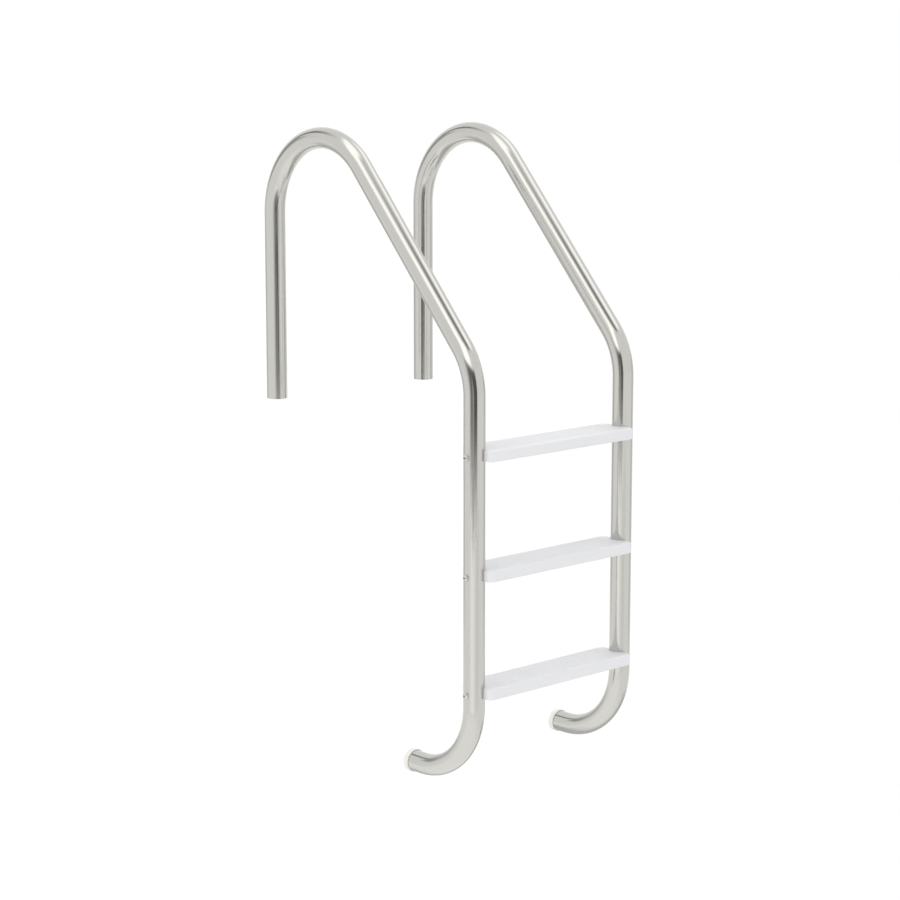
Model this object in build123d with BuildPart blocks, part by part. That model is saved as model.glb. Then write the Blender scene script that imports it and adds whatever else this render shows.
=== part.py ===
from build123d import *
import os
from math import cos, radians, sin

# Three-tread ladder for an in-ground pool: two bent tube rails set in deck anchors, three
# moulded treads bolted between them, and a bumper in each rail's foot against the pool wall.
#
# Millimetres. +Z is up, +Y points from the pool to the deck and +X to the right of a bather
# climbing out. The origin is on the deck's surface, midway between the two anchor legs.

# --- Rails: one bent tube each, in a plane across the pool's edge ------------------------
RAIL_SPACING = 465.0            # between the two tubes' centre lines
TUBE_OD = 48.26                 # the 1.90 in tube that deck anchors grip
TUBE_WALL = 1.65
REACH = 680.0                   # from the anchor legs out to the pool legs
ANCHOR_DEPTH = 100.0            # length of leg that sits in the deck anchor
ANCHOR_LEG = 437.0              # straight, from the cut end up to the hook
HOOK_R = 178.0
SLOPE_ANGLE = 41.5              # of the handrail's slope, from vertical
SHOULDER_R = 162.0              # bend from the slope to the pool leg
POOL_LEG = 688.0
FOOT_R = 167.0                  # bend from the pool leg towards the wall
FOOT_END = 25.0                 # straight stretch behind the bumper
DEBURR = 0.4                    # on the tube's two cut ends

# --- Treads: ribbed mouldings, open underneath, cupped round the tubes at both ends ------
TREAD_TOP = -135.0              # top of the highest tread, below the deck
TREAD_PITCH = 265.0
TREAD_THICKNESS = 25.5
TREAD_FRONT = 45.0              # tube's centre line to the tread's pool-side face
TREAD_BACK = 52.0               # and to its wall-side face
HORN_GAP = 6.0                  # the cup's horns stop short of the tube's centre plane
SADDLE_GAP = 0.25               # moulding clearance round the tube
SADDLE_WALL = 12.0              # thinnest plastic between the tube and the nut
TREAD_CORNER_R = 15.0
TREAD_EDGE_R = 4.5
UNDER_EDGE_R = 1.5
SKIN = 4.0                      # of the stepping surface
SIDE_WALL = 3.5
RIB = 3.0
POCKET_CORNER_R = 2.0
POCKET_COLUMNS = 8
NUT_BAY = 40.0                  # open bay at each end, where the nut goes in
GRIP_GROOVES = 11
GRIP_PITCH = 7.4
GRIP_WIDTH = 1.8
GRIP_DEPTH = 0.5
GRIP_END = 36.0                 # from the rail's centre line to the groove's end

# --- Fasteners: one M8 button-head bolt across the tube at each end of each tread --------
BOLT_BELOW_TOP = 17.0
BOLT_R = 4.0
BOLT_LENGTH = 75.0
BOLT_POINT = 1.0                # chamfer at the bolt's end
HEAD_R = 7.0
HEAD_HEIGHT = 4.4
HEAD_RIM = 0.8                  # straight rim under the dome
HEAD_FLAT_R = 3.6               # flat round the hexagon socket
SOCKET_AF = 5.0
SOCKET_DEPTH = 2.8
BOLT_HOLE_R = 4.2
SADDLE_WASHER_R = 8.0
SADDLE_WASHER_T = 1.6           # at its thinnest, over the tube's crown
WASHER_R = 8.0
WASHER_T = 1.6
NUT_AF = 13.0
NUT_HEX = 6.5
NUT_COLLAR = 1.8                # round collar crimped over the nylon ring
NUT_COLLAR_R = 5.9
NUT_BORE_R = 4.05
RING_R = 5.2
RING_T = 1.5
NUT_GUIDE_GAP = 0.2             # between each flat of the nut and the rib that holds it
NUT_GUIDE_LENGTH = 12.0
WASHER_SLOT_GAP = 0.4           # between the washer and the ends of those ribs

# --- Bumpers: a moulded plug with a thick flange ----------------------------------------
FLANGE_R = 26.0
FLANGE_T = 13.0
FLANGE_FRONT_R = 4.5
FLANGE_BACK_R = 1.2
PLUG_R = 21.4
PLUG_LENGTH = 24.0
BARB_R = 22.4
BARB_LENGTH = 5.0
BARBS = 3

# --- Places that follow from these ------------------------------------------------------
TUBE_R = TUBE_OD / 2
RAIL_X = RAIL_SPACING / 2
ANGLE = radians(SLOPE_ANGLE)
SLOPE = (REACH - HOOK_R * (1 + cos(ANGLE)) - SHOULDER_R * (1 - cos(ANGLE))) / sin(ANGLE)
HOOK_START_Z = ANCHOR_LEG - ANCHOR_DEPTH
SHOULDER_END_Z = HOOK_START_Z + (HOOK_R - SHOULDER_R) * sin(ANGLE) - SLOPE * cos(ANGLE)
FOOT_Z = SHOULDER_END_Z - POOL_LEG - FOOT_R
FOOT_END_Y = -REACH + FOOT_R + FOOT_END

TREAD_DEPTH = TREAD_FRONT + TREAD_BACK
TREAD_Y = -REACH + (TREAD_BACK - TREAD_FRONT) / 2
TREAD_LENGTH = RAIL_SPACING - 2 * HORN_GAP
SADDLE_R = TUBE_R + SADDLE_GAP
NUT_SEAT_X = RAIL_X - SADDLE_R - SADDLE_WALL
HEAD_SEAT_X = RAIL_X + TUBE_R + SADDLE_WASHER_T
NUT_X = NUT_SEAT_X - WASHER_T


def make_rail(x):
    """One tube, bent from its anchor leg over the hook and down to its foot."""
    with BuildPart() as rail:
        with BuildLine(Plane.YZ.offset(x)) as route:
            anchor_leg = Line((0, -ANCHOR_DEPTH), (0, HOOK_START_Z))
            hook = JernArc(anchor_leg @ 1, anchor_leg % 1, HOOK_R, 180 - SLOPE_ANGLE)
            slope = Line(hook @ 1, hook @ 1 + SLOPE * (hook % 1))
            shoulder = JernArc(slope @ 1, slope % 1, SHOULDER_R, SLOPE_ANGLE)
            pool_leg = Line(shoulder @ 1, shoulder @ 1 + POOL_LEG * (shoulder % 1))
            foot = JernArc(pool_leg @ 1, pool_leg % 1, FOOT_R, 90)
            Line(foot @ 1, foot @ 1 + FOOT_END * (foot % 1))
        with BuildSketch(Plane(anchor_leg @ 0, z_dir=anchor_leg % 0)):
            Circle(TUBE_R)
            Circle(TUBE_R - TUBE_WALL, mode=Mode.SUBTRACT)
        sweep(path=route.wire())
        cut_ends = rail.faces().filter_by(GeomType.PLANE)
        chamfer([end.outer_wire().edge() for end in cut_ends], DEBURR)
        with BuildSketch(Plane.YZ.offset(x - TUBE_OD)):
            with Locations(*[(-REACH, top - BOLT_BELOW_TOP) for top in TREAD_TOPS.values()]):
                Circle(BOLT_HOLE_R)
        extrude(amount=2 * TUBE_OD, mode=Mode.SUBTRACT)
    return rail.part


def make_tread(top):
    """One tread: a shell with pockets below, grip grooves above and a cup at each end."""
    tube_y = -REACH - TREAD_Y
    pocket_width = TREAD_DEPTH - 2 * SIDE_WALL
    row_width = (pocket_width - RIB) / 2
    column_pitch = 2 * (NUT_SEAT_X - NUT_BAY) / POCKET_COLUMNS
    guide_y = NUT_AF / 2 + NUT_GUIDE_GAP + RIB / 2
    top_plane = Plane((0, TREAD_Y, top))
    under_plane = Plane((0, TREAD_Y, top - TREAD_THICKNESS))
    with BuildPart() as tread:
        with BuildSketch(top_plane):
            RectangleRounded(TREAD_LENGTH, TREAD_DEPTH, TREAD_CORNER_R)
        extrude(amount=-TREAD_THICKNESS)
        fillet(tread.faces().sort_by(Axis.Z)[-1].edges(), TREAD_EDGE_R)
        fillet(tread.faces().sort_by(Axis.Z)[0].edges(), UNDER_EDGE_R)
        with BuildSketch(under_plane):
            for side in (-1, 1):
                with Locations((side * (NUT_SEAT_X - NUT_BAY / 2), 0)):
                    RectangleRounded(NUT_BAY, pocket_width, POCKET_CORNER_R)
                guide_x = side * (NUT_X - WASHER_SLOT_GAP - NUT_GUIDE_LENGTH / 2)
                with Locations((guide_x, tube_y - guide_y), (guide_x, tube_y + guide_y)):
                    Rectangle(NUT_GUIDE_LENGTH, RIB, mode=Mode.SUBTRACT)
            with GridLocations(column_pitch, row_width + RIB, POCKET_COLUMNS, 2):
                RectangleRounded(column_pitch - RIB, row_width, POCKET_CORNER_R)
        extrude(amount=TREAD_THICKNESS - SKIN, mode=Mode.SUBTRACT)
        with BuildSketch(under_plane):
            with Locations((-RAIL_X, tube_y), (RAIL_X, tube_y)):
                Circle(SADDLE_R)
        extrude(amount=TREAD_THICKNESS, mode=Mode.SUBTRACT)
        with BuildSketch(top_plane):
            with GridLocations(0, GRIP_PITCH, 1, GRIP_GROOVES):
                SlotOverall(RAIL_SPACING - 2 * GRIP_END, GRIP_WIDTH)
        extrude(amount=-GRIP_DEPTH, mode=Mode.SUBTRACT)
        with BuildSketch(Plane.YZ.offset(-RAIL_X)):
            with Locations((-REACH, top - BOLT_BELOW_TOP)):
                Circle(BOLT_HOLE_R)
        extrude(amount=RAIL_SPACING, mode=Mode.SUBTRACT)
    return tread.part


def make_bolts(z):
    """The two bolts of one tread, their domed heads on the rails' outer sides."""
    with BuildPart() as bolts:
        with BuildSketch(Plane.XZ.offset(REACH)):
            with BuildLine():
                tip = HEAD_SEAT_X - BOLT_LENGTH
                crown = HEAD_SEAT_X + HEAD_HEIGHT
                shank = Polyline(
                    (tip, z),
                    (tip, z + BOLT_R - BOLT_POINT),
                    (tip + BOLT_POINT, z + BOLT_R),
                    (HEAD_SEAT_X, z + BOLT_R),
                    (HEAD_SEAT_X, z + HEAD_R),
                    (HEAD_SEAT_X + HEAD_RIM, z + HEAD_R),
                )
                dome = TangentArc(shank @ 1, (crown, z + HEAD_FLAT_R), tangent=(0.55, -0.2))
                Polyline(dome @ 1, (crown, z), (tip, z))
            make_face()
        revolve(axis=Axis((0, -REACH, z), (1, 0, 0)))
        with BuildSketch(Plane.YZ.offset(HEAD_SEAT_X + HEAD_HEIGHT)):
            with Locations((-REACH, z)):
                RegularPolygon(SOCKET_AF / 2, 6, major_radius=False)
        extrude(amount=-SOCKET_DEPTH, mode=Mode.SUBTRACT)
        mirror(about=Plane.YZ)
    return bolts.part


def make_saddle_washers(z):
    """Under each bolt's head, a washer hollowed to sit on the round tube."""
    with BuildPart() as washers:
        with BuildSketch(Plane.YZ.offset(HEAD_SEAT_X)):
            with Locations((-REACH, z)):
                Circle(SADDLE_WASHER_R)
                Circle(BOLT_HOLE_R, mode=Mode.SUBTRACT)
        extrude(amount=-TUBE_R / 2)
        with BuildSketch(Plane.XY.offset(z - SADDLE_WASHER_R)):
            with Locations((RAIL_X, -REACH)):
                Circle(TUBE_R)
        extrude(amount=2 * SADDLE_WASHER_R, mode=Mode.SUBTRACT)
        mirror(about=Plane.YZ)
    return washers.part


def make_flat_washers(z):
    """Between each nut and the tread's saddle wall."""
    with BuildPart() as washers:
        with BuildSketch(Plane.YZ.offset(NUT_X)):
            with Locations((-REACH, z)):
                Circle(WASHER_R)
                Circle(BOLT_HOLE_R, mode=Mode.SUBTRACT)
        extrude(amount=WASHER_T)
        mirror(about=Plane.YZ)
    return washers.part


def make_lock_nuts(z):
    """Hexagon nuts with a crimped collar, one flat against each guide rib."""
    with BuildPart() as nuts:
        with BuildSketch(Plane.YZ.offset(NUT_X)):
            with Locations((-REACH, z)):
                RegularPolygon(NUT_AF / 2, 6, major_radius=False, rotation=30)
        extrude(amount=-NUT_HEX)
        with BuildSketch(Plane.YZ.offset(NUT_X - NUT_HEX)):
            with Locations((-REACH, z)):
                Circle(NUT_COLLAR_R)
        extrude(amount=-NUT_COLLAR)
        with BuildSketch(Plane.YZ.offset(NUT_X)):
            with Locations((-REACH, z)):
                Circle(NUT_BORE_R)
        extrude(amount=-NUT_HEX - NUT_COLLAR, mode=Mode.SUBTRACT)
        with BuildSketch(Plane.YZ.offset(NUT_X - NUT_HEX - NUT_COLLAR)):
            with Locations((-REACH, z)):
                Circle(RING_R)
        extrude(amount=RING_T, mode=Mode.SUBTRACT)
        mirror(about=Plane.YZ)
    return nuts.part


def make_nylon_rings(z):
    """The locking rings inside the nuts' collars."""
    with BuildPart() as rings:
        with BuildSketch(Plane.YZ.offset(NUT_X - NUT_HEX - NUT_COLLAR)):
            with Locations((-REACH, z)):
                Circle(RING_R)
                Circle(NUT_BORE_R, mode=Mode.SUBTRACT)
        extrude(amount=RING_T)
        mirror(about=Plane.YZ)
    return rings.part


def make_bumper(x):
    """A barbed plug in the foot's open end, with a flange that rests on the pool wall."""
    barb_pitch = PLUG_LENGTH / BARBS
    with BuildPart() as bumper:
        with BuildSketch(Plane.YZ.offset(x)) as profile:
            with Locations((FOOT_END_Y + FLANGE_T / 2, FOOT_Z + FLANGE_R / 2)):
                flange = Rectangle(FLANGE_T, FLANGE_R)
            rim = flange.vertices().group_by(Axis.Z)[-1].sort_by(Axis.Y)
            fillet(profile.vertices().sort_by_distance(rim[1])[0], FLANGE_FRONT_R)
            fillet(profile.vertices().sort_by_distance(rim[0])[0], FLANGE_BACK_R)
            with Locations((FOOT_END_Y - PLUG_LENGTH / 2, FOOT_Z + PLUG_R / 2)):
                Rectangle(PLUG_LENGTH, PLUG_R)
            for barb in range(BARBS):
                start = FOOT_END_Y - PLUG_LENGTH + barb * barb_pitch
                with BuildLine():
                    Polyline(
                        (start, FOOT_Z + PLUG_R),
                        (start + BARB_LENGTH, FOOT_Z + BARB_R),
                        (start + BARB_LENGTH, FOOT_Z + PLUG_R),
                        close=True,
                    )
                make_face()
        revolve(axis=Axis((x, 0, FOOT_Z), (0, 1, 0)))
    return bumper.part


TREAD_TOPS = {
    "top": TREAD_TOP,
    "middle": TREAD_TOP - TREAD_PITCH,
    "bottom": TREAD_TOP - 2 * TREAD_PITCH,
}
PER_TREAD = {
    "tread_bolts": make_bolts,
    "saddle_washers": make_saddle_washers,
    "flat_washers": make_flat_washers,
    "lock_nuts": make_lock_nuts,
    "nylon_rings": make_nylon_rings,
}

pieces = {}
for side, x in (("left", -RAIL_X), ("right", RAIL_X)):
    pieces[f"{side}_rail"] = make_rail(x)
    pieces[f"{side}_bumper"] = make_bumper(x)
for place, top in TREAD_TOPS.items():
    pieces[f"{place}_tread"] = make_tread(top)
    for kind, make in PER_TREAD.items():
        pieces[f"{place}_{kind}"] = make(top - BOLT_BELOW_TOP)

os.makedirs("parts", exist_ok=True)
for name, piece in pieces.items():
    piece.label = name
    export_step(piece, f"parts/{name}.step")
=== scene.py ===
import math

import bpy
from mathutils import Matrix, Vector


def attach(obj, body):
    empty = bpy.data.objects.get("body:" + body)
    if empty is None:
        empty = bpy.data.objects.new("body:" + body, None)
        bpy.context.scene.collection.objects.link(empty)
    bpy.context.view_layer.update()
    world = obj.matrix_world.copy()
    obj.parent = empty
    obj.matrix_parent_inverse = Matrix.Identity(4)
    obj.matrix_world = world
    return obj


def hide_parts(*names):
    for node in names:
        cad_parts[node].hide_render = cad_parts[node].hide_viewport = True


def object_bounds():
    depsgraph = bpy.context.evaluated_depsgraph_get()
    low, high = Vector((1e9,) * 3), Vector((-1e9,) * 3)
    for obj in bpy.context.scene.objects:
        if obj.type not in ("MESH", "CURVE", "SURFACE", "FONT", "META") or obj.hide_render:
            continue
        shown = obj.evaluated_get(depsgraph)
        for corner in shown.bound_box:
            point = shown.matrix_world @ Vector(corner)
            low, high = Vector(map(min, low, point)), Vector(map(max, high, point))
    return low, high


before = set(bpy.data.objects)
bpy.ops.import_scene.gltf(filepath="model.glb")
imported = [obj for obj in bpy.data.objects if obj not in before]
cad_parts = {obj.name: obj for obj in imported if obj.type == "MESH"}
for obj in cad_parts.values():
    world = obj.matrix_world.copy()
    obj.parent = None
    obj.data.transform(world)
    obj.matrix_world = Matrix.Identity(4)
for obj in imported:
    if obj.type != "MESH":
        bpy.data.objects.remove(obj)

cad_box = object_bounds()
MM = 0.001

# --- The ladder's driving sizes, in metres ------------------------------------------------
RAIL_X = 232.5 * MM             # from the middle plane to each tube's centre plane
TUBE_R = 24.13 * MM
TUBE_WALL = 1.65 * MM
DEBURR = 0.4 * MM
ANCHOR_DEPTH = 100 * MM         # how far the anchor legs go below the deck
ANCHOR_LEG = 437 * MM
HOOK_R = 178 * MM
SLOPE_ANGLE = math.radians(41.5)
SHOULDER_R = 162 * MM
POOL_LEG = 688 * MM
FOOT_R = 167 * MM
FOOT_END = 25 * MM
REACH = 680 * MM                # from the anchor legs to the pool legs
SLOPE = (REACH - HOOK_R * (1 + math.cos(SLOPE_ANGLE))
         - SHOULDER_R * (1 - math.cos(SLOPE_ANGLE))) / math.sin(SLOPE_ANGLE)

# --- How fine the rails' meshes are -------------------------------------------------------
RAIL_SIDES = 72
BEND_STEP = math.radians(1.5)
STRAIGHT_STEP = 40 * MM
SHARP_ANGLE = math.radians(30)

# --- Colours ------------------------------------------------------------------------------
STEEL_WARM = (0.586, 0.573, 0.533)
STEEL_COOL = (0.576, 0.573, 0.546)
STEEL_DARK = (0.516, 0.509, 0.481)
FASTENER_DARK = (0.62, 0.60, 0.57)
FASTENER_LIGHT = (0.71, 0.69, 0.66)
PLASTIC_WHITE = (0.755, 0.758, 0.775)
PLASTIC_SHADE = (0.735, 0.738, 0.755)
PLASTIC_FLECK = (0.715, 0.715, 0.730)
VINYL_LIGHT = (0.80, 0.79, 0.735)
VINYL_DARK = (0.755, 0.74, 0.68)
NYLON_DARK = (0.60, 0.66, 0.72)
NYLON_LIGHT = (0.68, 0.73, 0.78)
FLOOR_PALE = (0.84, 0.84, 0.84)

# --- Camera, light and floor --------------------------------------------------------------
CAMERA_PLACE = (-3.6424, -4.2973, 0.7429)
CAMERA_AZIMUTH = math.radians(42.70)
CAMERA_PITCH = math.radians(10.04)      # downwards
CAMERA_LENS = 93.62                     # millimetres, on a sensor of this width
CAMERA_SENSOR = 36
WORLD_STRENGTH = 1.0
SUN_STRENGTH = 0.80
SUN_SPREAD = math.radians(120)
SUN_TILT = (math.radians(-20), math.radians(-10), 0)
FLOOR_HALF = 30.0
FLOOR_DROP = 0.6                        # below the ladder's lowest point


# --- Mesh helpers -------------------------------------------------------------------------
def add_mesh(name, verts, faces, material):
    """A smooth-shaded object with its hard edges kept sharp."""
    mesh = bpy.data.meshes.new(name)
    mesh.from_pydata([tuple(v) for v in verts], [], faces)
    mesh.validate()
    mesh.materials.append(material)
    for polygon in mesh.polygons:
        polygon.use_smooth = True
    mesh.set_sharp_from_angle(angle=SHARP_ANGLE)
    obj = bpy.data.objects.new(name, mesh)
    bpy.context.scene.collection.objects.link(obj)
    return obj


def band(first, second, count):
    """Quads between two rings of count vertices that start at those indices."""
    return [(first + i, first + (i + 1) % count, second + (i + 1) % count, second + i)
            for i in range(count)]


# --- Materials ----------------------------------------------------------------------------
class Finish:
    """One procedural material, built up node by node."""

    def __init__(self, name):
        self.material = bpy.data.materials.new(name)
        self.material.use_nodes = True
        self.tree = self.material.node_tree
        self.shader = self.tree.nodes["Principled BSDF"]

    def set(self, **values):
        """Set or link the shader's sockets, such as Base_Color for "Base Color"."""
        self.fill(self.shader, values)
        return self

    def fill(self, node, values):
        """Set or link a node's inputs, each given by its name or by its number."""
        for key, value in values.items():
            if isinstance(key, str):
                key = key.replace("_", " ")
            socket = node.inputs[key]
            if isinstance(value, bpy.types.NodeSocket):
                self.tree.links.new(value, socket)
            else:
                socket.default_value = value

    def node(self, kind, settings=None, **values):
        node = self.tree.nodes.new("ShaderNode" + kind)
        for name, value in (settings or {}).items():
            setattr(node, name, value)
        self.fill(node, values)
        return node

    def math(self, operation, first, second=0.0):
        node = self.node("Math", {"operation": operation})
        self.fill(node, {0: first, 1: second})
        return node.outputs["Value"]

    def place(self):
        """The point's place on the object, in metres."""
        return self.node("TexCoord").outputs["Object"]

    def stretched(self, place, scale):
        return self.node("Mapping", Vector=place, Scale=scale).outputs["Vector"]

    def noise(self, place, size, detail=2.0, roughness=0.5):
        """Noise from 0 to 1, with blotches about so many metres across."""
        node = self.node("TexNoise", Vector=place, Scale=1 / size, Detail=detail, Roughness=roughness)
        return node.outputs["Fac"]

    def spread(self, value, low, high, lowest=0.3, highest=0.7):
        """A value between lowest and highest, spread over low to high."""
        node = self.node("MapRange", Value=value, From_Min=lowest, From_Max=highest, To_Min=low,
                         To_Max=high)
        return node.outputs["Result"]

    def blend(self, fraction, first, second):
        """The first colour where the fraction is 0, and the second where it is 1."""
        node = self.node("Mix", {"data_type": "RGBA"})
        colours = [socket for socket in node.inputs if socket.type == "RGBA"]
        self.tree.links.new(fraction, node.inputs[0])
        for colour, socket in zip((first, second), colours):
            if isinstance(colour, bpy.types.NodeSocket):
                self.tree.links.new(colour, socket)
            else:
                socket.default_value = (*colour, 1)
        return next(socket for socket in node.outputs if socket.type == "RGBA")

    def bump(self, height, depth):
        """A bump as deep as so many metres."""
        return self.node("Bump", Height=height, Distance=depth, Strength=1.0).outputs["Normal"]

    def show(self, shader, cover):
        """Let the shader be seen where cover is 1, and what is behind it where cover is 0."""
        mix = self.node("MixShader", Fac=cover)
        self.fill(mix, {1: self.node("BsdfTransparent").outputs["BSDF"], 2: shader})
        self.fill(self.tree.nodes["Material Output"], {"Surface": mix.outputs["Shader"]})


def tube_steel():
    """Bright polished tube: faint rings from the polishing belt, and long soft variations."""
    finish = Finish("polished_stainless")
    unrolled = finish.node("SeparateXYZ", Vector=finish.node("UVMap", {"uv_map": "tube"}).outputs["UV"])
    angle = finish.math("MULTIPLY", unrolled.outputs["X"], 2 * math.pi)
    around_x = finish.math("MULTIPLY", finish.math("COSINE", angle), TUBE_R)
    around_y = finish.math("MULTIPLY", finish.math("SINE", angle), TUBE_R)
    along = unrolled.outputs["Y"]
    tube = finish.node("CombineXYZ", X=around_x, Y=around_y, Z=along).outputs["Vector"]
    belt_lines = finish.noise(finish.stretched(tube, (1, 1, 40)), 14 * MM, 4.0, 0.6)
    drawn_lines = finish.noise(finish.stretched(tube, (12, 12, 0.35)), 9 * MM, 3.0)
    clouds = finish.noise(tube, 45 * MM, 3.0)
    rough = finish.math("ADD", finish.spread(clouds, 0.095, 0.15), finish.spread(belt_lines, 0, 0.05))
    tint = finish.blend(finish.spread(clouds, 0, 1), STEEL_WARM, STEEL_COOL)
    tint = finish.blend(finish.spread(drawn_lines, 0, 0.35), tint, STEEL_DARK)
    finish.set(Metallic=1.0, Base_Color=tint, Roughness=rough, Normal=finish.bump(belt_lines, 0.006 * MM))
    return finish.material


def fastener_steel():
    """Machined and tumbled stainless: fine scratches every way, duller than the tube."""
    finish = Finish("machined_stainless")
    place = finish.place()
    scratches = finish.noise(finish.stretched(place, (1, 5, 5)), 1.6 * MM, 4.0, 0.65)
    pits = finish.noise(place, 0.7 * MM)
    tint = finish.blend(finish.spread(scratches, 0, 1), FASTENER_DARK, FASTENER_LIGHT)
    finish.set(Metallic=1.0, Base_Color=tint, Roughness=finish.spread(scratches, 0.46, 0.60),
               Normal=finish.bump(pits, 0.02 * MM))
    return finish.material


def tread_plastic():
    """Injection-moulded white plastic with a fine spark-eroded grain and faint flow clouds."""
    finish = Finish("white_tread_plastic")
    place = finish.place()
    grain = finish.noise(place, 0.9 * MM, 3.0, 0.6)
    flow = finish.noise(finish.stretched(place, (0.4, 1, 1)), 60 * MM, 4.0, 0.55)
    specks = finish.noise(place, 3 * MM, 1.0)
    tint = finish.blend(finish.spread(flow, 0, 1), PLASTIC_WHITE, PLASTIC_SHADE)
    tint = finish.blend(finish.spread(specks, 0, 0.25, 0.55, 0.8), tint, PLASTIC_FLECK)
    rough = finish.math("ADD", finish.spread(flow, 0.36, 0.44), finish.spread(grain, 0, 0.10))
    finish.set(Base_Color=tint, Roughness=rough, Normal=finish.bump(grain, 0.035 * MM))
    finish.set(Specular_IOR_Level=0.45)
    return finish.material


def bumper_vinyl():
    """Soft white vinyl, a little yellower than the treads, with a matt moulded skin."""
    finish = Finish("white_vinyl")
    place = finish.place()
    skin = finish.noise(place, 1.4 * MM, 4.0, 0.6)
    clouds = finish.noise(place, 14 * MM, 3.0)
    tint = finish.blend(finish.spread(clouds, 0, 1), VINYL_LIGHT, VINYL_DARK)
    rough = finish.math("ADD", finish.spread(clouds, 0.42, 0.5), finish.spread(skin, 0, 0.12))
    finish.set(Base_Color=tint, Roughness=rough, Normal=finish.bump(skin, 0.03 * MM))
    finish.set(Subsurface_Weight=0.08, Subsurface_Scale=3 * MM)
    return finish.material


def nylon():
    """The nuts' locking rings: milky, faintly blue."""
    finish = Finish("nylon")
    streaks = finish.noise(finish.place(), 0.8 * MM)
    tint = finish.blend(finish.spread(streaks, 0, 1), NYLON_DARK, NYLON_LIGHT)
    finish.set(Base_Color=tint, Roughness=finish.spread(streaks, 0.3, 0.45),
               Normal=finish.bump(streaks, 0.01 * MM))
    return finish.material


def card_material(name, brightness, opacity, feather):
    """A card of one brightness, which fades out towards its four edges: left, right, bottom, top."""
    finish = Finish(name)
    finish.tree.nodes.remove(finish.shader)
    place = finish.node("SeparateXYZ", Vector=finish.node("UVMap").outputs["UV"])
    left, right, bottom, top = feather
    cover = opacity
    for axis, edge, inner in (("X", 0, left), ("X", 1, 1 - right), ("Y", 0, bottom), ("Y", 1, 1 - top)):
        ramp = finish.node("MapRange", {"interpolation_type": "SMOOTHSTEP"}, Value=place.outputs[axis],
                           From_Min=edge, From_Max=inner)
        cover = finish.math("MULTIPLY", ramp.outputs["Result"], cover)
    glow = finish.node("Emission", Color=(brightness, brightness, brightness, 1))
    finish.show(glow.outputs["Emission"], cover)
    return finish.material


# --- Rails --------------------------------------------------------------------------------
def rail_stations():
    """(y, z, heading, length so far) down the middle of a tube, from its anchor end to its foot."""
    runs = ((ANCHOR_LEG, 0), (HOOK_R, math.pi - SLOPE_ANGLE), (SLOPE, 0), (SHOULDER_R, SLOPE_ANGLE),
            (POOL_LEG, 0), (FOOT_R, math.pi / 2), (FOOT_END, 0))
    y, z, heading, length = 0.0, -ANCHOR_DEPTH, math.pi / 2, 0.0
    stations = [(y, z, heading, length)]
    for size, turn in runs:     # a straight run's length, or a bend's radius and how far it turns
        steps = math.ceil(turn / BEND_STEP) if turn else math.ceil(size / STRAIGHT_STEP)
        for _ in range(steps):
            if turn:
                half = turn / steps / 2
                chord = 2 * size * math.sin(half)
                y += chord * math.cos(heading + half)
                z += chord * math.sin(heading + half)
                heading += 2 * half
                length += 2 * half * size
            else:
                y += size / steps * math.cos(heading)
                z += size / steps * math.sin(heading)
                length += size / steps
            stations.append((y, z, heading, length))
    return stations


def make_rail(name, x, material):
    """One closed skin: down the outside of the tube, and back up its bore."""
    stations = rail_stations()
    rings = []
    for index, (y, z, heading, length) in enumerate(stations):
        at_end = index in (0, len(stations) - 1)
        rings.append((y, z, heading, TUBE_R - DEBURR if at_end else TUBE_R, length))
        if at_end:
            inward = DEBURR if index == 0 else -DEBURR
            near = (y + inward * math.cos(heading), z + inward * math.sin(heading), heading, TUBE_R,
                    length + inward)
            rings.insert(len(rings) if index == 0 else len(rings) - 1, near)
    for y, z, heading, length in reversed(stations):
        rings.append((y, z, heading, TUBE_R - TUBE_WALL, length))
    verts, uvs = [], []
    for y, z, heading, radius, length in rings:
        for i in range(RAIL_SIDES):
            angle = 2 * math.pi * i / RAIL_SIDES
            out = radius * math.cos(angle)
            verts.append((x + radius * math.sin(angle), y - out * math.sin(heading),
                          z + out * math.cos(heading)))
            uvs.append((angle / (2 * math.pi), length))
    faces = []
    for ring in range(len(rings)):
        faces += band(ring * RAIL_SIDES, (ring + 1) % len(rings) * RAIL_SIDES, RAIL_SIDES)
    rail = add_mesh(name, verts, faces, material)
    layer = rail.data.uv_layers.new(name="tube")
    for loop, place in zip(rail.data.loops, layer.data):
        place.uv = uvs[loop.vertex_index]
    return rail


# --- The stage ----------------------------------------------------------------------------
def make_camera():
    camera = bpy.data.cameras.new("camera")
    camera.sensor_width = CAMERA_SENSOR
    camera.lens = CAMERA_LENS
    obj = bpy.data.objects.new("camera", camera)
    bpy.context.scene.collection.objects.link(obj)
    obj.location = CAMERA_PLACE
    obj.rotation_euler = (math.pi / 2 - CAMERA_PITCH, 0, -CAMERA_AZIMUTH)
    bpy.context.scene.camera = obj


def make_world():
    world = bpy.data.worlds.new("studio")
    world.use_nodes = True
    background = world.node_tree.nodes["Background"]
    background.inputs["Color"].default_value = (1, 1, 1, 1)
    background.inputs["Strength"].default_value = WORLD_STRENGTH
    bpy.context.scene.world = world


def make_overhead_light():
    """One broad soft light from above, so that upward faces are a little brighter than upright ones."""
    light = bpy.data.lights.new("overhead", "SUN")
    light.energy = SUN_STRENGTH
    light.angle = SUN_SPREAD
    obj = bpy.data.objects.new("overhead", light)
    bpy.context.scene.collection.objects.link(obj)
    obj.rotation_euler = SUN_TILT
    obj.visible_glossy = False


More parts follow.
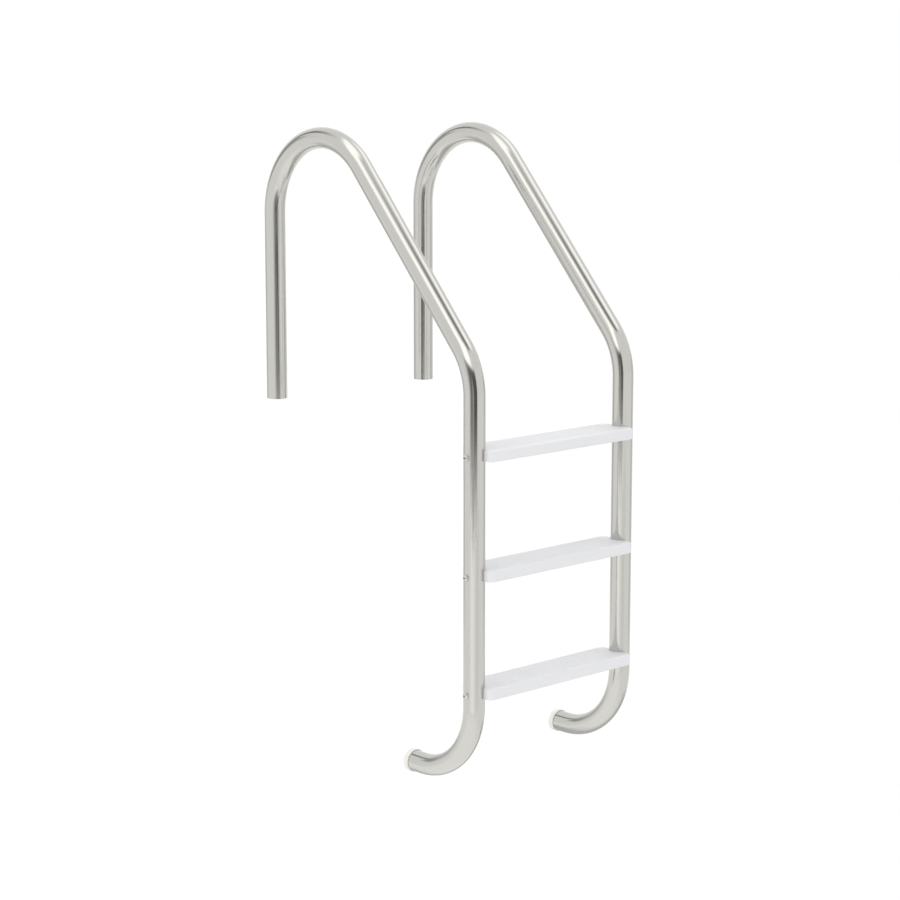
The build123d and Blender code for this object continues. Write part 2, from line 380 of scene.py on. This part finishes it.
def make_floor():
    """A pale floor that is only seen from above, so that it never hides the ladder from below."""
    finish = Finish("pale_floor").set(Base_Color=(*FLOOR_PALE, 1), Roughness=0.9)
    from_above = finish.math("SUBTRACT", 1.0, finish.node("NewGeometry").outputs["Backfacing"])
    finish.show(finish.shader.outputs["BSDF"], from_above)
    half, z = FLOOR_HALF, cad_box[0][2] - FLOOR_DROP
    floor = add_mesh("floor", [(-half, -half, z), (half, -half, z), (half, half, z), (-half, half, z)],
                     [(0, 1, 2, 3)], finish.material)


def make_card(name, corner, across, up, brightness, opacity, feather):
    """A studio card that is only seen in reflections, from a corner and its two edges.

    Opacity is how much of what is behind the card it hides. Feather is how far in the card fades from
    its left, right, bottom and top edges, as shares of its width and height.
    """
    corner, across, up = Vector(corner), Vector(across), Vector(up)
    verts = [corner, corner + across, corner + across + up, corner + up]
    card = add_mesh(name, verts, [(0, 1, 2, 3)], card_material(name, brightness, opacity, feather))
    layer = card.data.uv_layers.new(name="card")
    for loop, place in zip(layer.data, ((0, 0), (1, 0), (1, 1), (0, 1))):
        loop.uv = place
    card.visible_camera = False
    card.visible_diffuse = False
    card.visible_shadow = False
    card.visible_transmission = False
    card.visible_volume_scatter = False


def make_cards():
    """The cards that the steel reflects: flags for its dark stripes, and glows for its bright ones."""
    back = Vector((-math.sin(CAMERA_AZIMUTH), -math.cos(CAMERA_AZIMUTH), 0))    # towards the camera
    right = Vector((math.cos(CAMERA_AZIMUTH), -math.sin(CAMERA_AZIMUTH), 0))    # in the camera's view
    rise = Vector((0, 0, 1))

    def at(along_back, along_right, height):
        """A place in metres from the frame's origin, in the camera's directions."""
        return along_back * back + along_right * right + height * rise

    # The dark stripes of the legs, the paler line in them, and the far anchor leg's own flag.
    make_card("camera_flag", at(1.3, -0.75, -0.52), 1.41 * right, 0.92 * rise,
              brightness=0.06, opacity=0.93, feather=(0.6, 0.05, 0.42, 0.12))
    make_card("camera_gap", at(1.27, -0.02, -0.55), 0.31 * right, 0.83 * rise,
              brightness=0.55, opacity=0.75, feather=(0.4, 0.4, 0.2, 0.43))
    make_card("far_flag", at(0.1, 0.05, -0.34), 0.085 * right, 0.60 * rise,
              brightness=0.08, opacity=0.95, feather=(0.4, 0.3, 0.1, 0.3))

    # Low down in front of the ladder, for the lower legs.
    make_card("low_glow", at(2.5, -1.9, -1.48), 2.5 * right, 0.98 * rise,
              brightness=1.26, opacity=1.0, feather=(0.4, 0.25, 0.05, 0.35))
    make_card("low_grey", at(2.5, 0.75, -1.48), 1.9 * right, 0.9 * rise,
              brightness=0.92, opacity=1.0, feather=(0.3, 0.4, 0.3, 0.3))

    # Flat, just above the floor, for the feet.
    make_card("floor_glow", at(-0.3, -2.4, -1.49), 3.9 * right, 2.9 * back,
              brightness=1.17, opacity=1.0, feather=(0.3, 0.3, 0.2, 0.3))
    make_card("floor_shade", at(-1.2, -1.0, -1.47), 2.9 * right, 1.6 * back,
              brightness=0.60, opacity=0.90, feather=(0.3, 0.2, 0.3, 0.25))

    # Upright, to either side of the ladder, for the tubes' edges.
    middle = Vector((0, -0.34, -1.4))
    distance, width = 2.5, 2.6
    for name, turn, opacity in (("side_grey_right", 116, 0.45), ("side_grey_left", -130, 0.60)):
        turn = math.radians(turn)
        out = math.cos(turn) * back + math.sin(turn) * right
        along = Vector((-out.y, out.x, 0))
        make_card(name, middle + distance * out - width / 2 * along, width * along, 1.95 * rise,
                  brightness=0.45, opacity=opacity, feather=(0.4, 0.4, 0.15, 0.3))

    # Overhead and behind, for the slopes and the hooks.
    ceiling = 2.4
    make_card("ceiling_flag", (-0.575, -2.6, ceiling), (1.35, 0, 0), (-0.5, 1.8, 0),
              brightness=0.27, opacity=0.95, feather=(0.25, 0.25, 0.05, 0.5))
    make_card("arch_flag", (-1.75, 0.4, ceiling), (1.4, 0, 0), (0, 5.1, 0),
              brightness=0.16, opacity=0.95, feather=(0.35, 0.35, 0.4, 0.05))
    make_card("back_flag", (-4.2, 5.3, 0.1), (4.0, 0, 0), (0, 0, 2.4),
              brightness=0.28, opacity=0.80, feather=(0.35, 0.2, 0.3, 0.05))
    make_card("softbox_left", (-2.8, -2.4, ceiling), (1.8, 0, 0), (0, 2.9, 0),
              brightness=1.70, opacity=1.0, feather=(0.25, 0.2, 0.1, 0.1))
    make_card("softbox_right", (0.65, -2.4, ceiling), (1.9, 0, 0), (0, 2.9, 0),
              brightness=1.60, opacity=1.0, feather=(0.2, 0.25, 0.1, 0.1))
    make_card("softbox_top", (-2.3, -1.0, ceiling - 0.01), (2.6, 0, 0), (0, 1.4, 0),
              brightness=1.75, opacity=1.0, feather=(0.2, 0.25, 0.3, 0.15))
    make_card("softbox_front", at(1.26, -0.24, 0.27), 0.78 * right, 0.8 * rise,
              brightness=1.85, opacity=1.0, feather=(0.25, 0.3, 0.15, 0.3))


make_camera()
make_world()
make_overhead_light()
make_floor()
make_cards()
bpy.context.scene.view_settings.view_transform = "Standard"

steel = tube_steel()
for side, x in (("left", -RAIL_X), ("right", RAIL_X)):
    rail = make_rail(f"{side}_rail_tube", x, steel)
    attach(rail, "root")
    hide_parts(f"{side}_rail")

# The other nodes keep their own meshes. The last word of a node's name says what it is made of, and the
# washers and nuts are of the bolts' steel.
fasteners = fastener_steel()
finishes = {"tread": tread_plastic(), "bumper": bumper_vinyl(), "rings": nylon()}
for name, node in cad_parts.items():
    for slot in node.material_slots:
        slot.material = finishes.get(name.split("_")[-1], fasteners)
